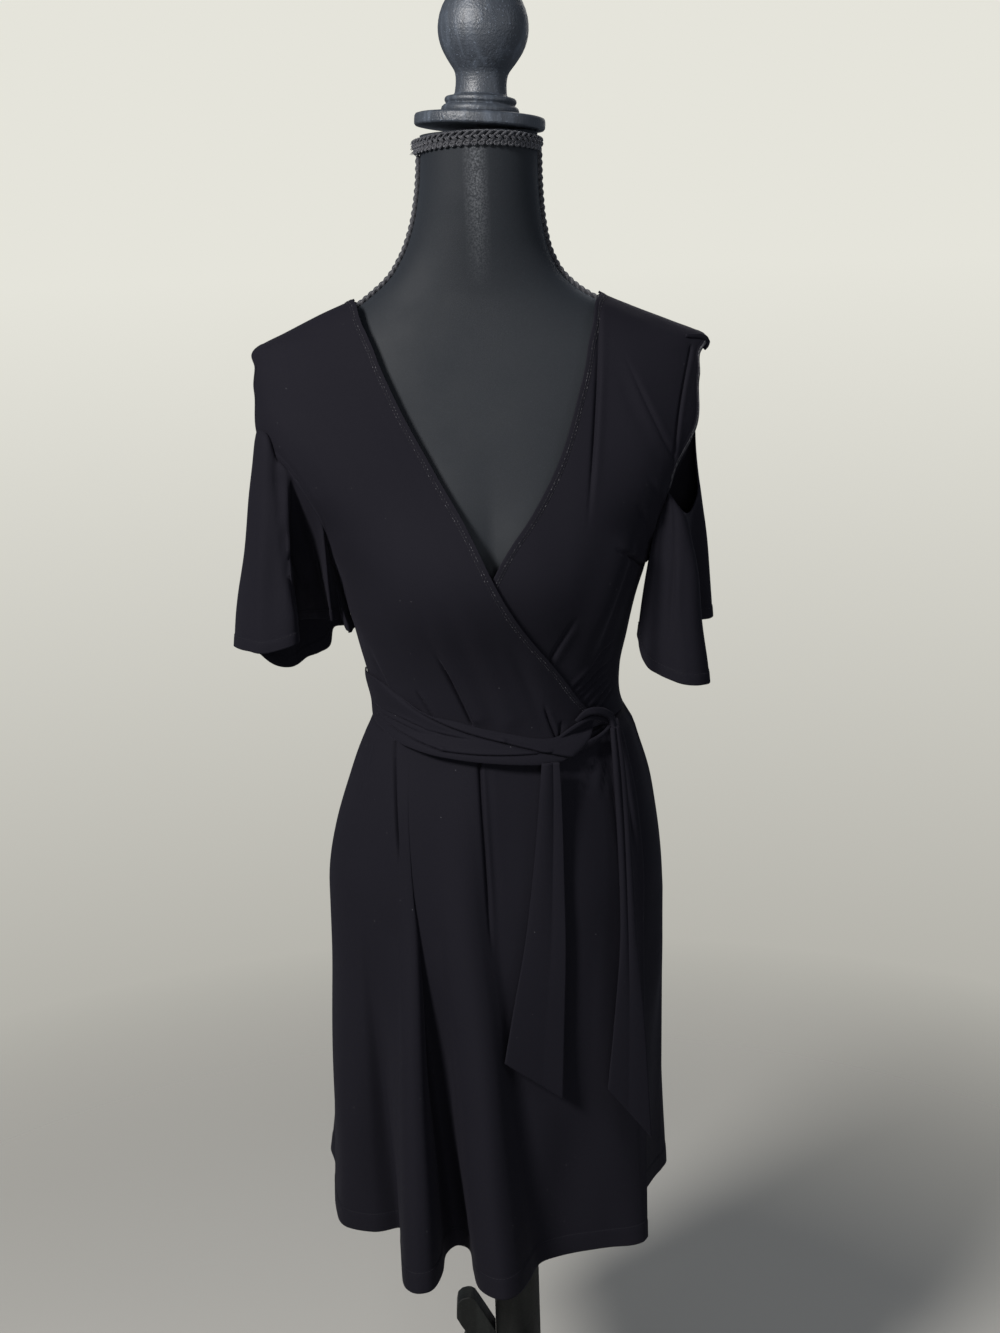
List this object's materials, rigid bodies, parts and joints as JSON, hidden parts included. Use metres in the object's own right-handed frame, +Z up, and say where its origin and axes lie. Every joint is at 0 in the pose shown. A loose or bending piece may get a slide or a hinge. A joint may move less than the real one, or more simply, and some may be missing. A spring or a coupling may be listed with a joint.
{
  "type": "wrap dress on a dress form",
  "caption": "Knee-length jersey wrap dress with V-neck, tied waist and open-shoulder flutter sleeves, on a fabric-covered limbless dress form with a turned neck finial and a tripod stand.",
  "frame": {"origin": "on the floor under the middle of the whole object", "axes": "+Z up, the front of the dress faces -Y, +X to the right of someone looking at the front"},
  "size_m": [0.4751, 0.4008, 1.6541],
  "materials": {
    "jersey": "soft stretch knit with a slight sheen, near black",
    "form_cover": "matte cloth, bluish charcoal, a little worn",
    "braid": "corded gimp braid, black",
    "painted_wood": "black paint, half gloss, with fine brush grain"
  },
  "bodies": {
    "root": {"bodice_back": "jersey", "bodice_front_over": "jersey", "bodice_front_under": "jersey", "finial_ball": "painted_wood", "form_torso": "form_cover", "neck_braid": "braid", "neck_cap_disc": "painted_wood", "neck_cap_ring": "painted_wood", "side_piping_left": "braid", "side_piping_right": "braid", "skirt_back": "jersey", "skirt_front_over": "jersey", "skirt_front_under": "jersey", "sleeve_left": "jersey", "sleeve_right": "jersey", "stand_leg_back": "painted_wood", "stand_leg_front": "painted_wood", "stand_leg_left": "painted_wood", "stand_post": "painted_wood", "tie_front": "jersey", "tie_knot": "jersey", "tie_tail_front": "jersey", "tie_tail_side": "jersey"}
  },
  "joints": []
}
